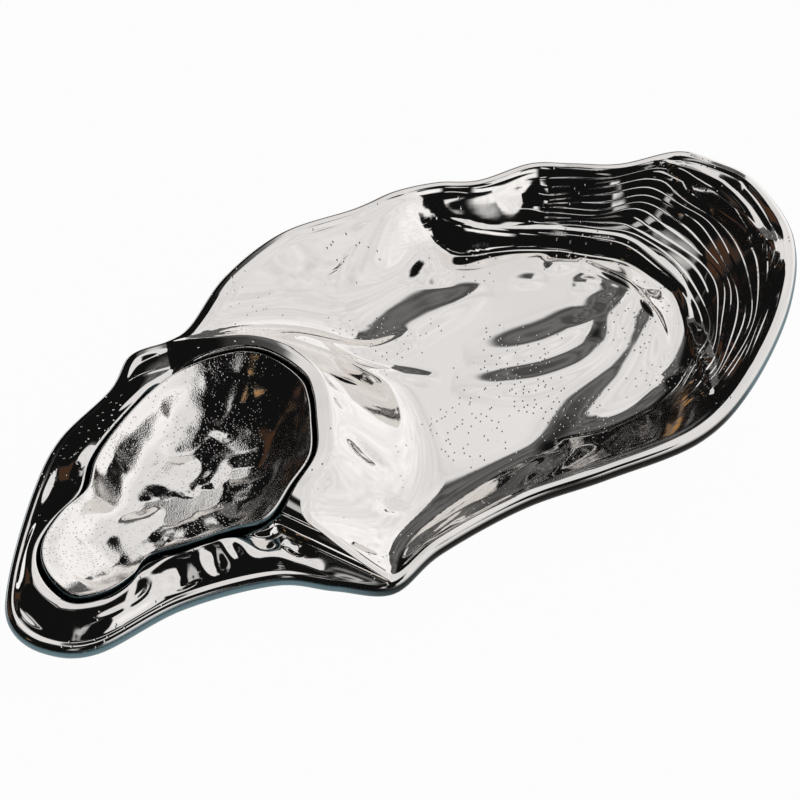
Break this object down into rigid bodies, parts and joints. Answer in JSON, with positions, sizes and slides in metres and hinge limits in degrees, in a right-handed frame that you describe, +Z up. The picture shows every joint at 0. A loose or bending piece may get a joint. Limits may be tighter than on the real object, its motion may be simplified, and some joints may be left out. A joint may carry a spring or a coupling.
{
  "type": "chip and dip platter",
  "caption": "Oyster-shell shaped serving platter in mirror-polished metal, with a wide chip basin and a loose pear-shaped dip bowl that lifts out of a seat at its narrow end.",
  "frame": {"origin": "on the table, under the middle of the platter's outline", "axes": "+X towards the fan end of the chip basin, +Y towards the back rim, +Z up"},
  "size_m": [0.449, 0.236, 0.0465],
  "materials": {
    "polished_metal": "mirror polished casting with fine pits",
    "hammered_metal": "hammered and polished, with a fine grain",
    "silicone": "soft satin, slightly cloudy"
  },
  "bodies": {
    "platter": {"platter_shell": "polished_metal", "foot_bumper_1": "silicone", "foot_bumper_2": "silicone", "foot_bumper_3": "silicone", "foot_bumper_4": "silicone"},
    "dip_bowl": {"dip_bowl": "hammered_metal", "bowl_bumper_1": "silicone", "bowl_bumper_2": "silicone", "bowl_bumper_3": "silicone"}
  },
  "joints": [
    {"name": "bowl_lift", "type": "slide", "parent": "platter", "child": "dip_bowl", "axis": [0, 0, 1], "range_m": [0, 0.06]}
  ]
}
